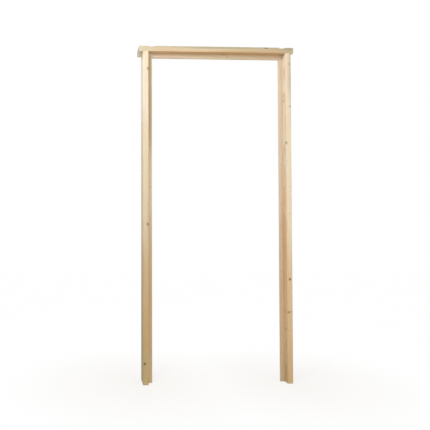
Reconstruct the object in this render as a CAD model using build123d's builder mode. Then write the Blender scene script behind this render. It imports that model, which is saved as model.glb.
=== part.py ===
from build123d import *
import os

os.makedirs("parts", exist_ok=True)

# Door leaf the frame is made for, in mm
LEAF_W = 838.0
LEAF_H = 1981.0
LEAF_T = 44.0
SIDE_GAP = 3.0        # leaf edge to jamb, each side
HEAD_GAP = 3.0        # leaf top to head
STOP_PLAY = 1.0       # leaf back to stop, so the leaf does not bind
FLOOR_ALLOWANCE = 30.0  # gap under the leaf plus the floor finish the legs run down into

# Sawn and planed timber
BOARD_T = 33.0        # head and jamb thickness
BOARD_W = 115.0       # head and jamb width, front to back
STOP_W = 27.0         # how far a stop stands out from its board
STOP_D = 13.0         # stop size front to back
ARRIS = 1.0           # sanded edge of the long arrises
STOP_ARRIS = 0.8

# Head ends and notches
HORN_LEFT = 24.0
HORN_RIGHT = 16.0
NOTCH_IN = 34.0       # notch outer end, measured in from the jamb's outer face
NOTCH_LEN = 37.0
NOTCH_DEEP = 8.0
NOTCH_BACK = 14.0     # how far the notch reaches back from the front face

# Twin tenons, each jamb into the head
TENON_D = 29.0        # tenon size front to back
TENON_EDGE = 12.0     # shoulder left at the front and at the back
TENON_SHOULDER = 4.0  # shoulder left on the outer side
MORTISE_CLEAR = 0.25  # room round a tenon for the glue

# Sizes that follow
CLEAR_W = LEAF_W + 2 * SIDE_GAP
OUT_W = CLEAR_W + 2 * BOARD_T
LEG_H = LEAF_H + HEAD_GAP + FLOOR_ALLOWANCE
OUT_H = LEG_H + BOARD_T
STOP_Y = LEAF_T + STOP_PLAY
JAMB_X = OUT_W / 2 - BOARD_T / 2
STOP_X = CLEAR_W / 2 - STOP_W / 2
SIDE_STOP_H = LEG_H - STOP_W
TENON_X = BOARD_T - TENON_SHOULDER
TENON_YS = (TENON_EDGE + TENON_D / 2, BOARD_W - TENON_EDGE - TENON_D / 2)
TENON_OFF = TENON_SHOULDER / 2
HEAD_LEN = OUT_W + HORN_LEFT + HORN_RIGHT
DOOR_X = (HORN_LEFT - HORN_RIGHT) / 2   # middle of the doorway, as the uneven horns are centred on the origin
FRONT_Y = -BOARD_W / 2                  # face the leaf closes in from


def at(x, y):
    """A point given from the middle of the doorway and back from the front face."""
    return (DOOR_X + x, FRONT_Y + y)


def jamb(side):
    """One upright with its two tenons; side is -1 for left and 1 for right."""
    with BuildPart() as piece:
        with BuildSketch(Plane.XY):
            with Locations(at(side * JAMB_X, BOARD_W / 2)):
                Rectangle(BOARD_T, BOARD_W)
        extrude(amount=LEG_H)
        long_edges = piece.edges().filter_by(Axis.Z)
        chamfer(long_edges, ARRIS)
        with BuildSketch(Plane.XY.offset(LEG_H)):
            for y in TENON_YS:
                with Locations(at(side * (JAMB_X - TENON_OFF), y)):
                    Rectangle(TENON_X, TENON_D)
        extrude(amount=BOARD_T)
    return piece


def side_stop(side):
    """The strip the leaf shuts against, down one jamb."""
    with BuildPart() as piece:
        with BuildSketch(Plane.XY):
            with Locations(at(side * STOP_X, STOP_Y + STOP_D / 2)):
                Rectangle(STOP_W, STOP_D)
        extrude(amount=SIDE_STOP_H)
        inner = piece.faces().sort_by(Axis.X)[0 if side > 0 else -1]
        chamfer(inner.edges().filter_by(Axis.Z), STOP_ARRIS)
    return piece


with BuildPart() as head:
    with BuildSketch(Plane.XY.offset(LEG_H)):
        Rectangle(HEAD_LEN, BOARD_W)
    extrude(amount=BOARD_T)
    chamfer(head.edges().filter_by(Axis.X), ARRIS)
    # mortises for the twin tenons, right through
    with BuildSketch(Plane.XY.offset(LEG_H)):
        for side in (-1, 1):
            for y in TENON_YS:
                with Locations(at(side * (JAMB_X - TENON_OFF), y)):
                    Rectangle(TENON_X + 2 * MORTISE_CLEAR, TENON_D + 2 * MORTISE_CLEAR)
    extrude(amount=BOARD_T, mode=Mode.SUBTRACT)
    # notches in the top front arris: square step inboard, running out towards the horn
    for side in (-1, 1):
        outer = DOOR_X + side * (OUT_W / 2 - NOTCH_IN)
        inner = outer - side * NOTCH_LEN
        with BuildSketch(Plane.XZ.offset(-FRONT_Y)):
            with BuildLine():
                Polyline((inner, OUT_H), (inner, OUT_H - NOTCH_DEEP),
                         (outer - side * NOTCH_LEN * 0.45, OUT_H - NOTCH_DEEP),
                         (outer, OUT_H), close=True)
            make_face()
        extrude(amount=-NOTCH_BACK, mode=Mode.SUBTRACT)

left_jamb = jamb(-1)
right_jamb = jamb(1)
left_stop = side_stop(-1)
right_stop = side_stop(1)

with BuildPart() as head_stop:
    with BuildSketch(Plane.XY.offset(LEG_H - STOP_W)):
        with Locations(at(0, STOP_Y + STOP_D / 2)):
            Rectangle(CLEAR_W, STOP_D)
    extrude(amount=STOP_W)
    under = head_stop.faces().sort_by(Axis.Z)[0]
    chamfer(under.edges().filter_by(Axis.X), STOP_ARRIS)

head.part.label = "head"
left_jamb.part.label = "left_jamb"
right_jamb.part.label = "right_jamb"
head_stop.part.label = "head_stop"
left_stop.part.label = "left_stop"
right_stop.part.label = "right_stop"

export_step(head.part, "parts/head.step")
export_step(left_jamb.part, "parts/left_jamb.step")
export_step(right_jamb.part, "parts/right_jamb.step")
export_step(head_stop.part, "parts/head_stop.step")
export_step(left_stop.part, "parts/left_stop.step")
export_step(right_stop.part, "parts/right_stop.step")
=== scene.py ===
from math import pi
import bpy
from mathutils import Euler, Matrix, Vector


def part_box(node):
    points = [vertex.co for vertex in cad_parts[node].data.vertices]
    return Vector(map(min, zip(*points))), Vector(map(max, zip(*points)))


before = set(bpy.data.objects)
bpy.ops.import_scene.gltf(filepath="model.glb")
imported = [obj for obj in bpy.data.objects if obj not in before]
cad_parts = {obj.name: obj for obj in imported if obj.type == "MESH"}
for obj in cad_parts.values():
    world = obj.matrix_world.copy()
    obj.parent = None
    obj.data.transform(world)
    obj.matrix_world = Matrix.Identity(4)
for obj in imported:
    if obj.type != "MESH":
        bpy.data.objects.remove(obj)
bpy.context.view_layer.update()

mm = 1000   # millimetres in a metre

print("frame loaded:", ", ".join(sorted(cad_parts)))


def linearColour(hexText):
    # sRGB hex to the linear values that a shader works in
    parts = [int(hexText[i:i + 2], 16) / 255 for i in (1, 3, 5)]
    return tuple(p / 12.92 if p <= 0.04045 else ((p + 0.055) / 1.055) ** 2.4 for p in parts) + (1.0,)


def addNode(tree, kind, settings=None, links=None, output=0):
    # one node with its settings, its links and its fixed inputs; gives back one of its outputs
    node = tree.nodes.new("ShaderNode" + kind)
    for key, value in (settings or {}).items():
        setattr(node, key, value)
    for key, value in (links or {}).items():
        if isinstance(value, bpy.types.NodeSocket):
            tree.links.new(value, node.inputs[key])
        else:
            node.inputs[key].default_value = linearColour(value) if isinstance(value, str) else value
    return node.outputs[output] if node.outputs else node


subtract = {"operation": "SUBTRACT"}
multiply = {"operation": "MULTIPLY"}
multiplyAdd = {"operation": "MULTIPLY_ADD"}
divide = {"operation": "DIVIDE"}
absolute = {"operation": "ABSOLUTE"}
maximum = {"operation": "MAXIMUM"}
length = {"operation": "LENGTH"}
smoothFade = {"interpolation_type": "SMOOTHSTEP"}
# Mix in colours: input 0 is the factor, 6 and 7 are the two colours, and output 2 is the result
colourMix = {"data_type": "RGBA"}
colourStain = {"data_type": "RGBA", "blend_type": "MULTIPLY"}

# Pine, sawn, planed on four sides and left bare. To the eye: pale straw earlywood with narrow tan
# latewood lines, a silky fibre along the board, small brown knots that the grain flows round, faint
# cross ripples from the planer, soft greyed ends and a little handling dirt on the arrises.
# Lengths are in mm, in the board's own frame: x across its thickness, y front to back, z along it.
# A size is how long a pattern's patches are, and a scale is how many of them go into a mm.
# A pair gives where a fade starts and where it is full.
pineCommon = {
    "ringWidth": 3.4,                        # one year's growth
    "ringTaper": 0.011,                      # the trunk narrows this much each mm, for the long arches
    "ringWander": 22.0,                      # how far the rings stray from true circles
    "wanderScale": (0.012, 0.012, 0.0014),   # slow across the board and slower along it
    "lateRise": (0.30, 0.86),                # the shares of a year in which latewood darkens
    "lateEnd": (1.0, 0.90),                  # and in which it stops short
    "late": "#D8BE9B",                       # what latewood and fibre take from the colour under them
    "lateStrength": 0.55,
    "lateFaintest": 0.55,                    # share of that strength in the faintest patches
    "latePatches": (0.3, 0.7),
    "fibre": "#E6D8C0",
    "fibreSize": (0.8, 0.8, 50),             # real fibres are far finer; drawn this coarse to show
    "fibreFade": (0.35, 0.75),
    "fibreStrength": 0.30,
    "mottleSize": (30, 45, 260),
    "mottleFade": (0.35, 0.72),
    "driftSize": (18, 25, 190),              # how a streak's outline wanders
    "drift": (16, 20, 220),
    "streakFade": (1.2, 0.3),                # in the streak's half sizes
    "knotBands": ((3.0, 1.3, 0.35, "#A38A5E"),     # halo, in the knot's half sizes
                  (1.5, 1.2, 0.90, "#4A3C2B"),     # rim
                  (1.2, 1.0, 0.70, "#90764F"),     # flesh
                  (0.9, 0.5, 0.85, "#604B35")),    # heart
    "knotLimit": (4.0, 3.2),                 # past this a knot has no effect
    "knotJoin": 0.3,
    "knotRagged": 0.5,
    "raggedScale": 0.4,
    "knotSwell": 2.1,                        # how many rings a knot pushes aside
    "swellFade": -0.22,
    "dirt": "#8E7E62",
    "dirtStrength": 0.35,
    "arrisFade": (2.6, 0.6),
    "scuffScale": (0.2, 0.2, 0.02),
    "scuffFade": (0.5, 0.72),
    "endFacing": (0.6, 0.9),                 # how squarely end grain faces along the board
    "endTint": "#C9C4B0",
    "endDark": "#98896A",
    "endReach": 14,                          # how far the greying runs in from a board's end
    "endFull": 5,
    "endPatches": 9,                         # how much further it runs in some patches
    "endPatchScale": 0.09,
    "endSoil": 0.3,
    "endPores": 0.5,
    "endRings": 0.45,
    "poreScale": (1.1, 1.1, 0.1),
    "poreFade": (0.35, 0.75),
    "planerPitch": 2.4,                      # knife ripples
    "rippleHeight": 0.10,                    # heights are shares of the depth below
    "fibreHeight": 0.45,
    "lateHeight": 0.25,
    "poreHeight": 1.2,
    "knotHeight": 0.5,
    "knotEdge": (1.4, 0.9),
    "bumpDepth": 0.25,
    "bumpStrength": 0.35,
    "roughEarly": 0.66,
    "roughLate": 0.54,
    "roughEnd": 0.22,                        # added on end grain
    "ior": 1.53,
}


def boardPlace(tree, board):
    # the point in the board's frame, and 1 where the surface is end grain
    coords = addNode(tree, "TexCoord", None, None, "Object")
    place = addNode(tree, "Mapping", None, {"Vector": coords, "Location": board["offset"],
                                            "Rotation": board["turn"], "Scale": (mm, mm, mm)})
    facing = addNode(tree, "VectorMath", {"operation": "DOT_PRODUCT"},
                     {0: coords.node.outputs["Normal"], 1: board["grain"]}, "Value")
    facing = addNode(tree, "Math", absolute, {0: facing})
    start, full = board["endFacing"]
    endOn = addNode(tree, "MapRange", smoothFade, {"Value": facing, "From Min": start, "From Max": full})
    return place, endOn


def boardKnots(tree, board, place):
    # distance from the nearest knot, 1 at its rim with a ragged edge, and how strongly it shows
    nearest, strength = None, None
    start, full = board["knotLimit"]
    for middle, reach, amount in board["knots"]:
        offset = addNode(tree, "VectorMath", subtract, {0: place, 1: middle})
        offset = addNode(tree, "VectorMath", divide, {0: offset, 1: reach})
        away = addNode(tree, "VectorMath", length, {0: offset}, "Value")
        shown = addNode(tree, "MapRange", None, {"Value": away, "From Min": start, "From Max": full,
                                                 "To Max": amount})
        if nearest is None:
            nearest, strength = away, shown
        else:
            nearest = addNode(tree, "Math", {"operation": "SMOOTH_MIN"},
                              {0: nearest, 1: away, 2: board["knotJoin"]})
            strength = addNode(tree, "Math", maximum, {0: strength, 1: shown})
    ragged = addNode(tree, "TexNoise", None, {"Vector": place, "Scale": board["raggedScale"],
                                              "Detail": 2})
    return addNode(tree, "Math", multiplyAdd, {0: ragged, 1: board["knotRagged"], 2: nearest}), strength


def boardRings(tree, board, place, knotAway):
    # growth rings round a pith outside the board, which wander along it and bend round the knots
    slowPlace = addNode(tree, "VectorMath", multiply, {0: place, 1: board["wanderScale"]})
    wander = addNode(tree, "TexNoise", None, {"Vector": slowPlace, "Scale": 1.0, "Detail": 2}, "Color")
    amount = board["ringWander"]
    pithX, pithY = board["pith"]
    wander = addNode(tree, "VectorMath", multiplyAdd,
                     {0: wander, 1: (amount, amount, 0),
                      2: (-amount / 2 - pithX, -amount / 2 - pithY, 0)})
    fromPith = addNode(tree, "VectorMath", multiplyAdd, {0: place, 1: (1, 1, 0), 2: wander})
    radius = addNode(tree, "VectorMath", length, {0: fromPith}, "Value")
    along = addNode(tree, "SeparateXYZ", None, {0: place}, "Z")
    radius = addNode(tree, "Math", multiplyAdd, {0: along, 1: board["ringTaper"], 2: radius})
    swell = addNode(tree, "Math", multiply, {0: knotAway, 1: knotAway})
    swell = addNode(tree, "Math", multiply, {0: swell, 1: board["swellFade"]})
    swell = addNode(tree, "Math", {"operation": "EXPONENT"}, {0: swell})
    swell = addNode(tree, "Math", multiply, {0: swell, 1: board["knotSwell"]})
    years = addNode(tree, "Math", multiplyAdd, {0: radius, 1: 1 / board["ringWidth"], 2: swell})
    part = addNode(tree, "Math", {"operation": "FRACT"}, {0: years})
    start, full = board["lateRise"]
    rising = addNode(tree, "MapRange", smoothFade, {"Value": part, "From Min": start, "From Max": full})
    start, full = board["lateEnd"]
    falling = addNode(tree, "MapRange", smoothFade, {"Value": part, "From Min": start, "From Max": full})
    return addNode(tree, "Math", multiply, {0: rising, 1: falling})


def woodTone(tree, board, place):
    # the ground colour, with slow mottling and the change of tone from end to end; on the jambs partly
    # painted shade, darker towards the feet
    mottlePlace = addNode(tree, "VectorMath", divide, {0: place, 1: board["mottleSize"]})
    mottle = addNode(tree, "TexNoise", None, {"Vector": mottlePlace, "Scale": 1.0, "Detail": 3,
                                              "Roughness": 0.55})
    start, full = board["mottleFade"]
    mottleAmount = addNode(tree, "MapRange", smoothFade, {"Value": mottle, "From Min": start,
                                                          "From Max": full, "To Max": board["mottle"]})
    colour = addNode(tree, "Mix", colourMix, {0: mottleAmount, 6: board["early"], 7: board["heart"]}, 2)
    along = addNode(tree, "SeparateXYZ", None, {0: place}, "Z")
    # painted shade in part: on the jambs this draws the wood towards deepTint, darker towards the feet
    toneAndShadeAlong = addNode(tree, "MapRange", smoothFade,
                        {"Value": along, "From Min": board["deepFrom"], "From Max": board["deepTo"],
                         "To Max": board["deep"]})
    colour = addNode(tree, "Mix", colourMix, {0: toneAndShadeAlong, 6: colour, 7: board["deepTint"]}, 2)
    return colour, mottle


def streakTone(tree, board, place, colour):
    # long soft streaks of heartwood, resin or stain drawn out along the grain; on the head's underside,
    # painted shade and painted light
    driftPlace = addNode(tree, "VectorMath", divide, {0: place, 1: board["driftSize"]})
    drift = addNode(tree, "TexNoise", None, {"Vector": driftPlace, "Scale": 1.0, "Detail": 3}, "Color")
    drift = addNode(tree, "VectorMath", subtract, {0: drift, 1: (0.5, 0.5, 0.5)})
    drift = addNode(tree, "VectorMath", multiplyAdd, {0: drift, 1: board["drift"], 2: place})
    start, full = board["streakFade"]
    for middle, reach, tint, amount in board["streaks"]:
        offset = addNode(tree, "VectorMath", subtract, {0: drift, 1: middle})
        offset = addNode(tree, "VectorMath", divide, {0: offset, 1: reach})
        away = addNode(tree, "VectorMath", length, {0: offset}, "Value")
        factor = addNode(tree, "MapRange", smoothFade, {"Value": away, "From Min": start,
                                                        "From Max": full, "To Max": amount})
        colour = addNode(tree, "Mix", colourMix, {0: factor, 6: colour, 7: tint}, 2)
    return colour


def grainTone(tree, board, late, fibre, mottle, colour):
    # latewood lines, stronger in some places than in others, and the fibre between them
    strength = board["lateStrength"]
    start, full = board["latePatches"]
    lateAmount = addNode(tree, "MapRange", None,
                         {"Value": mottle, "From Min": start, "From Max": full,
                          "To Min": board["lateFaintest"] * strength, "To Max": strength})
    lateAmount = addNode(tree, "Math", multiply, {0: late, 1: lateAmount})
    colour = addNode(tree, "Mix", colourStain, {0: lateAmount, 6: colour, 7: board["late"]}, 2)
    start, full = board["fibreFade"]
    fibreAmount = addNode(tree, "MapRange", smoothFade,
                          {"Value": fibre, "From Min": start, "From Max": full,
                           "To Max": board["fibreStrength"]})
    return addNode(tree, "Mix", colourStain, {0: fibreAmount, 6: colour, 7: board["fibre"]}, 2)


def knotTone(tree, board, knotAway, knotShown, colour):
    # from the outside in
    for start, full, amount, tint in board["knotBands"]:
        factor = addNode(tree, "MapRange", smoothFade, {"Value": knotAway, "From Min": start,
                                                        "From Max": full, "To Max": amount})
        factor = addNode(tree, "Math", multiply, {0: factor, 1: knotShown})
        colour = addNode(tree, "Mix", colourMix, {0: factor, 6: colour, 7: tint}, 2)
    return colour


def endTone(tree, board, place, inward, late, pores, endOn, colour):
    # greying that runs in from the ends in patches, and end grain with open pores
    further = board["endPatches"]
    patches = addNode(tree, "TexNoise", None, {"Vector": place, "Scale": board["endPatchScale"],
                                               "Detail": 2})
    fromEnd = addNode(tree, "Math", multiplyAdd, {0: patches, 1: further, 2: inward.outputs["Z"]})
    endSoil = addNode(tree, "MapRange", smoothFade,
                      {"Value": fromEnd, "From Min": board["endReach"] + further,
                       "From Max": board["endFull"], "To Max": board["endSoil"]})
    colour = addNode(tree, "Mix", colourMix, {0: endSoil, 6: colour, 7: board["endTint"]}, 2)
    start, full = board["poreFade"]
    poreAmount = addNode(tree, "MapRange", smoothFade, {"Value": pores, "From Min": start,
                                                        "From Max": full, "To Max": board["endPores"]})
    endColour = addNode(tree, "Mix", colourMix,
                        {0: poreAmount, 6: board["endTint"], 7: board["endDark"]}, 2)
    endLate = addNode(tree, "Math", multiply, {0: late, 1: board["endRings"]})
    endColour = addNode(tree, "Mix", colourMix, {0: endLate, 6: endColour, 7: board["endDark"]}, 2)
    return addNode(tree, "Mix", colourMix, {0: endOn, 6: colour, 7: endColour}, 2)


def arrisTone(tree, board, place, inward, colour):
    # handling dirt in patches along the arrises
    fromArris = addNode(tree, "Math", maximum, {0: inward.outputs["X"], 1: inward.outputs["Y"]})
    start, full = board["arrisFade"]
    arris = addNode(tree, "MapRange", smoothFade, {"Value": fromArris, "From Min": start,
                                                   "From Max": full})
    scuffPlace = addNode(tree, "VectorMath", multiply, {0: place, 1: board["scuffScale"]})
    scuffs = addNode(tree, "TexNoise", None, {"Vector": scuffPlace, "Scale": 1.0, "Detail": 3,
                                              "Roughness": 0.6})
    start, full = board["scuffFade"]
    scuffs = addNode(tree, "MapRange", smoothFade, {"Value": scuffs, "From Min": start, "From Max": full,
                                                    "To Max": board["dirtStrength"]})
    scuffs = addNode(tree, "Math", multiply, {0: arris, 1: scuffs})
    return addNode(tree, "Mix", colourMix, {0: scuffs, 6: colour, 7: board["dirt"]}, 2)


def boardRelief(tree, board, place, late, fibre, pores, endOn, knotAway):
    # fibre, latewood standing proud, planer ripples, hard knots and rough end grain
    along = addNode(tree, "SeparateXYZ", None, {0: place}, "Z")
    ripple = addNode(tree, "Math", multiply, {0: along, 1: 2 * pi / board["planerPitch"]})
    ripple = addNode(tree, "Math", {"operation": "SINE"}, {0: ripple})
    height = addNode(tree, "Math", multiply, {0: ripple, 1: board["rippleHeight"]})
    height = addNode(tree, "Math", multiplyAdd, {0: fibre, 1: board["fibreHeight"], 2: height})
    height = addNode(tree, "Math", multiplyAdd, {0: late, 1: board["lateHeight"], 2: height})
    endPores = addNode(tree, "Math", multiply, {0: pores, 1: endOn})
    height = addNode(tree, "Math", multiplyAdd, {0: endPores, 1: board["poreHeight"], 2: height})
    start, full = board["knotEdge"]
    knot = addNode(tree, "MapRange", smoothFade, {"Value": knotAway, "From Min": start, "From Max": full,
                                                  "To Max": board["knotHeight"]})
    height = addNode(tree, "Math", {"operation": "ADD"}, {0: height, 1: knot})
    return addNode(tree, "Bump", None, {"Strength": board["bumpStrength"],
                                        "Distance": board["bumpDepth"] / mm, "Height": height})


def pineBoard(name, board):
    material = bpy.data.materials.new(name)
    material.use_nodes = True
    tree = material.node_tree
    tree.nodes.clear()
    place, endOn = boardPlace(tree, board)
    knotAway, knotShown = boardKnots(tree, board, place)
    late = boardRings(tree, board, place, knotAway)
    fibrePlace = addNode(tree, "VectorMath", divide, {0: place, 1: board["fibreSize"]})
    fibre = addNode(tree, "TexNoise", None, {"Vector": fibrePlace, "Scale": 1.0, "Detail": 3,
                                             "Roughness": 0.6})
    porePlace = addNode(tree, "VectorMath", multiply, {0: place, 1: board["poreScale"]})
    pores = addNode(tree, "TexNoise", None, {"Vector": porePlace, "Scale": 1.0, "Detail": 2,
                                             "Roughness": 0.7})
    # how far in the point lies from the faces, the edges and the ends
    inward = addNode(tree, "VectorMath", absolute, {0: place})
    inward = addNode(tree, "VectorMath", subtract, {0: board["halfSize"], 1: inward})
    inward = addNode(tree, "SeparateXYZ", None, {0: inward}).node

    colour, mottle = woodTone(tree, board, place)
    colour = streakTone(tree, board, place, colour)
    colour = grainTone(tree, board, late, fibre, mottle, colour)
    colour = knotTone(tree, board, knotAway, knotShown, colour)
    colour = endTone(tree, board, place, inward, late, pores, endOn, colour)
    colour = arrisTone(tree, board, place, inward, colour)
    bump = boardRelief(tree, board, place, late, fibre, pores, endOn, knotAway)
    rough = addNode(tree, "MapRange", None, {"Value": late, "To Min": board["roughEarly"],
                                             "To Max": board["roughLate"]})
    rough = addNode(tree, "Math", multiplyAdd, {0: endOn, 1: board["roughEnd"], 2: rough})
    shader = addNode(tree, "BsdfPrincipled", None, {"Base Color": colour, "Roughness": rough,
                                                    "Normal": bump, "IOR": board["ior"]})
    addNode(tree, "OutputMaterial", None, {"Surface": shader})
    return material


def finishBoard(node, upright, board):
    # the CAD mesh stays as it is and takes the pine made for its own place and direction
    low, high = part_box(node)
    middle = [mm * (low[i] + high[i]) / 2 for i in range(3)]
    half = [mm * (high[i] - low[i]) / 2 for i in range(3)]
    values = dict(pineCommon, **board)
    if upright:
        values.update(offset=[-v for v in middle], turn=(0, 0, 0), grain=(0, 0, 1), halfSize=half)
    else:
        values.update(offset=(middle[2], -middle[1], -middle[0]), turn=(0, -pi / 2, 0), grain=(1, 0, 0),
                      halfSize=(half[2], half[1], half[0]))
    material = pineBoard("planed pine, " + node.replace("_", " "), values)
    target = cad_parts[node]
    target.data.materials.clear()
    target.data.materials.append(material)


# Places are x, y, z from the board's middle. A knot is its place, its half sizes and how strongly it
# shows; a streak is its place, its half sizes, its tint and how strongly it shows.
# On the jambs, deepTint, deep, deepFrom and deepTo are partly painted shade, darker towards the feet
leftJambBoard = {
    "early": "#EAE0CF", "heart": "#DBC6A2", "mottle": 0.30,
    "deepTint": "#C0AA75", "deep": 0.85, "deepFrom": 420, "deepTo": -820, "pith": (-70, 30),
    "knots": (((15, -57.5, 884), (5, 26, 7), 0.8),
              ((12.6, -57.5, -60), (5, 20, 6), 1.0),
              ((-7.8, -57.5, -897), (6, 26, 6.5), 1.0),
              ((-16.5, 18, 239), (8, 4.5, 5), 0.5)),
    "streaks": (((-16.5, -10, 860), (12, 70, 460), "#FAF7F3", 0.78),   # outer face, from the top down
                ((-16.5, -10, 130), (13, 70, 380), "#D4D3B7", 0.50),
                ((-15, -10, -340), (14, 60, 250), "#B49479", 0.50),
                ((-18, 10, -800), (14, 78, 430), "#8E8354", 0.72),
                ((0, -57.5, 1010), (40, 40, 80), "#DCC8AB", 0.60),     # front edge
                ((0, -57.5, 760), (40, 30, 380), "#DDDEDA", 0.30),
                ((-3, -57.5, 330), (15, 26, 250), "#DCD8B6", 0.40),
                ((12, -57.5, -80), (10, 40, 170), "#E1B99B", 0.40),
                ((13, -57.5, -520), (12, 40, 360), "#DEAD6A", 0.38),
                ((-14, -57.5, -600), (8, 40, 420), "#C4B692", 0.50)),
}
rightJambBoard = {
    "early": "#EBE4D5", "heart": "#DECAAF", "mottle": 0.34,
    "deepTint": "#D7BA8E", "deep": 0.8, "deepFrom": 420, "deepTo": -820, "pith": (64, -36),
    "knots": (((8.3, -57.5, 924), (4.2, 26, 5), 0.28),
              ((-16.5, -23, 702), (10, 5, 5.5), 0.6),
              ((9.7, -57.5, 662), (3.6, 14, 5), 0.5),
              ((-16.5, -57.5, 438), (6, 6, 7), 0.52),
              ((9, -57.5, 170), (3.4, 14, 5), 0.15),
              ((-16.5, -28, 161), (9, 4, 6), 0.27),
              ((-16.5, -35, 77), (11, 5, 5), 0.30),
              ((4, -57.5, 4), (4, 14, 5), 0.14),
              ((0.9, -57.5, -395), (5, 26, 6), 1.0),
              ((-7.2, -57.5, -594), (5, 24, 6), 0.55),
              ((7.3, -57.5, -591), (3.4, 14, 4), 0.15),
              ((-16.5, -34, -700), (9, 4, 4), 0.45),
              ((-9.7, -57.5, -704), (3.4, 14, 4), 0.20)),
    "streaks": (((-16.5, -30, 780), (14, 70, 460), "#FBECD8", 0.68),   # inner face
                ((-16.5, -35, 60), (12, 50, 380), "#F9D3A4", 0.45),
                ((-16.5, -35, -350), (13, 50, 620), "#E8B87F", 0.40),
                ((-16.5, -35, -1000), (14, 50, 130), "#AD905E", 0.40),
                ((19, -57.5, 900), (22, 50, 400), "#C3BFA8", 0.70),    # front edge
                ((0, -57.5, 200), (30, 30, 560), "#F5EEDD", 0.50),
                ((4, -57.5, -960), (24, 30, 260), "#C8A97A", 0.35)),
}
headBoard = {
    "early": "#D3C7B1", "heart": "#BCA988", "mottle": 0.40,
    "deepTint": "#C9B99B", "deep": 0.7, "deepFrom": -100, "deepTo": 420, "pith": (-60, 22),
    "knots": (((-12.6, -57.5, 306), (4.4, 26, 6), 0.8),
              ((16.5, -18.5, 56), (12, 5, 7), 0.7)),
    "streaks": (((16.5, -10, 0), (12, 80, 620), "#D8AA74", 0.70),      # underside: painted shade, darker and warmer under the head
                ((16.5, -35, -330), (5, 26, 120), "#F3D2A6", 0.30),
                ((-17, -57.5, 20), (15, 34, 480), "#A6A588", 0.75),    # top arris
                ((0, -30, -530), (60, 150, 150), "#C6C5AB", 0.90),     # greyed horns
                ((0, -30, 530), (60, 150, 122), "#9FA390", 0.95),
                # painted light: lighter patches on the undersides of the horns, which lie in shade
                ((16.5, -10, -485), (6, 90, 60), "#F5EFD6", 0.95),
                ((16.5, -10, 490), (6, 90, 60), "#F0EAD2", 0.95)),
    "endReach": 20, "endSoil": 0.35, "endTint": "#CCC9BC", "endDark": "#ABA797",
}
stopCommon = {"ringWidth": 2.8, "mottle": 0.30, "deep": 0.7, "deepFrom": 400, "deepTo": -900,
              "endReach": 8}
leftStopBoard = {
    "early": "#D8D2BB", "heart": "#CABB9B", "deepTint": "#EAD8B9", "pith": (-40, 26),
    "knots": (((5.2, -6.5, 195), (4, 14, 5), 0.15),),
    "streaks": (((0, -6.5, 950), (30, 30, 110), "#D5CDA1", 0.55),
                ((0, -6.5, 640), (30, 30, 260), "#C6B086", 0.35),
                ((0, -6.5, 180), (30, 30, 320), "#F5F2E2", 0.65),
                ((4, -6.5, -640), (26, 30, 500), "#D6BC9C", 0.50)),
}
rightStopBoard = {
    "early": "#E4DACE", "heart": "#D6C2A7", "deepTint": "#D8C9A9", "pith": (36, -30),
    "knots": (((1.2, -6.5, 339), (8, 12, 5), 0.09),
              ((-4.6, -6.5, 95), (4, 12, 5), 0.08)),
    "streaks": (((-13.5, 0, 800), (16, 30, 380), "#F6E2D2", 0.45),
                ((-13.5, 0, 560), (16, 30, 520), "#E8D5B7", 0.40),
                ((-13.5, 0, -600), (12, 30, 480), "#D2B590", 0.40),
                ((13.5, 0, -250), (10, 30, 480), "#CBA36D", 0.45)),
}
headStopBoard = {
    "early": "#E7DFCD", "heart": "#CEC4A8", "deepTint": "#D4BFA9", "deepFrom": -50, "deepTo": 400,
    "pith": (-34, -30),
    "knots": (((2.2, -6.5, 73), (4, 12, 5), 0.16),),
    "streaks": (((0, -6.5, -340), (30, 30, 210), "#F5E2D5", 0.45),
                ((0, -6.5, 80), (30, 30, 200), "#E2DFC7", 0.40),
                ((11, -6.5, -330), (9, 12, 270), "#C2B6A6", 0.70),
                ((11, -6.5, 100), (9, 12, 180), "#BFB58E", 0.40)),
}

finishBoard("left_jamb", True, leftJambBoard)
finishBoard("right_jamb", True, rightJambBoard)
finishBoard("head", False, headBoard)
finishBoard("left_stop", True, dict(stopCommon, **leftStopBoard))
finishBoard("right_stop", True, dict(stopCommon, **rightStopBoard))
finishBoard("head_stop", False, dict(stopCommon, **headStopBoard))
print("pine finished on the head, jambs and stops")

# Floor: matt white, seen at full white away from the object and with its shadow close by
floorValues = {
    "half": 9.0,                  # metres from the middle to each side
    "colour": "#EFEBE3",
    "rough": 0.9,
    "foot": (0.4385, 0.0, 0.0),   # middle of a jamb's foot; the other one mirrors it
    "nearFoot": 0.05,
    "wayOff": 0.9,
    "glowNear": 0.80,             # share of plain white that the camera sees by the feet
    "glowOff": 0.99,
}


def seenWhite(tree):
    # 1 where the camera sees the surface itself, in gloss or through glass, and 0 for its light
    rays = addNode(tree, "LightPath").node
    seen = addNode(tree, "Math", maximum, {0: rays.outputs["Is Camera Ray"],
                                           1: rays.outputs["Is Glossy Ray"]})
    return addNode(tree, "Math", maximum, {0: seen, 1: rays.outputs["Is Transmission Ray"]})


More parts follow.
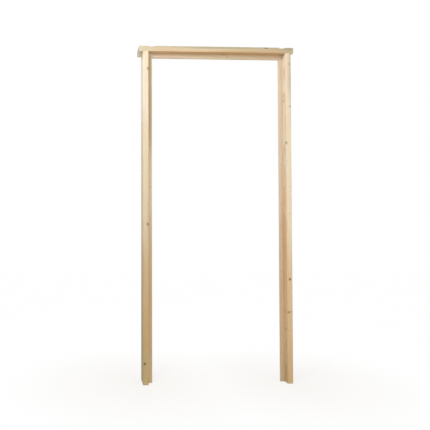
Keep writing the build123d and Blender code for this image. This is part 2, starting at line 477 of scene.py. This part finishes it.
bpy.ops.mesh.primitive_plane_add(size=2 * floorValues["half"])
floor = bpy.context.object
floor.name = "studio_floor"
floorPaint = bpy.data.materials.new("matt white studio floor")
floorPaint.use_nodes = True
tree = floorPaint.node_tree
tree.nodes.clear()
spot = addNode(tree, "TexCoord", None, None, "Object")
spot = addNode(tree, "VectorMath", absolute, {0: spot})
fromFoot = addNode(tree, "VectorMath", {"operation": "DISTANCE"},
                   {0: spot, 1: floorValues["foot"]}, "Value")
clear = addNode(tree, "MapRange", smoothFade,
                {"Value": fromFoot,
                 "From Min": floorValues["nearFoot"], "From Max": floorValues["wayOff"],
                 "To Min": floorValues["glowNear"], "To Max": floorValues["glowOff"]})
glow = addNode(tree, "Math", multiply, {0: seenWhite(tree), 1: clear})
matt = addNode(tree, "BsdfPrincipled", None, {"Base Color": floorValues["colour"],
                                              "Roughness": floorValues["rough"]})
white = addNode(tree, "Emission", None, {"Color": (1, 1, 1, 1), "Strength": 1.0})
blended = addNode(tree, "MixShader", None, {0: glow, 1: matt, 2: white})
addNode(tree, "OutputMaterial", None, {"Surface": blended})
floor.data.materials.append(floorPaint)

# Sky: soft warm studio light on the object, plain white behind it
worldValues = {"sky": "#FFF8EE", "strength": 0.55}
world = bpy.data.worlds.new("studio")
bpy.context.scene.world = world
world.use_nodes = True
tree = world.node_tree
tree.nodes.clear()
dome = addNode(tree, "Background", None, {"Color": worldValues["sky"],
                                          "Strength": worldValues["strength"]})
backdrop = addNode(tree, "Background", None, {"Color": (1, 1, 1, 1), "Strength": 1.0})
sky = addNode(tree, "MixShader", None, {0: seenWhite(tree), 1: dome, 2: backdrop})
addNode(tree, "OutputWorld", None, {"Surface": sky})

lamps = {
    "key": {"place": (-1.25, -1.5, 2.6), "aim": (-0.1, 0.0, 1.9), "size": 0.8, "watts": 27,
            "colour": "#FFFCF6"},
    "fill": {"place": (1.7, -2.6, 1.3), "aim": (0.0, 0.0, 0.9), "size": 2.2, "watts": 21.5,
             "colour": "#FFF3E2"},
    "back": {"place": (0.1, 2.8, 1.6), "aim": (0.0, 0.0, 1.0), "size": 0.9, "watts": 14,
             "colour": "#FFF8EE"},
}
for name, lamp in lamps.items():
    data = bpy.data.lights.new(name, "AREA")
    data.shape = "DISK"
    data.size = lamp["size"]
    data.energy = lamp["watts"]
    data.color = linearColour(lamp["colour"])[:3]
    thing = bpy.data.objects.new(name, data)
    thing.location = lamp["place"]
    towards = Vector(lamp["aim"]) - Vector(lamp["place"])
    thing.rotation_euler = towards.to_track_quat("-Z", "Y").to_euler()
    bpy.context.scene.collection.objects.link(thing)
print("floor, sky and lamps set")

# Camera: well to the left of the frame and a little below its middle, as in the photograph.
# Turn, tilt and roll are in radians; the lens is given in pixels of the picture's width.
shot = {"place": (-0.7831, -3.0683, 0.9424), "turn": 0.038954, "tilt": 0.024854, "roll": 0.001051,
        "focalPixels": 501.81, "imagePixels": 430, "sensor": 36, "shift": (0.25, 0.0)}
cameraData = bpy.data.cameras.new("camera")
cameraData.sensor_width = shot["sensor"]
cameraData.lens = shot["focalPixels"] / shot["imagePixels"] * shot["sensor"]
cameraData.shift_x, cameraData.shift_y = shot["shift"]
camera = bpy.data.objects.new("camera", cameraData)
aim = Euler((pi / 2 + shot["tilt"], 0, -shot["turn"])).to_matrix() @ Matrix.Rotation(shot["roll"], 3, "Z")
camera.matrix_world = Matrix.Translation(shot["place"]) @ aim.to_4x4()
bpy.context.scene.collection.objects.link(camera)
bpy.context.scene.camera = camera
bpy.context.scene.view_settings.view_transform = "Standard"
print("camera set")
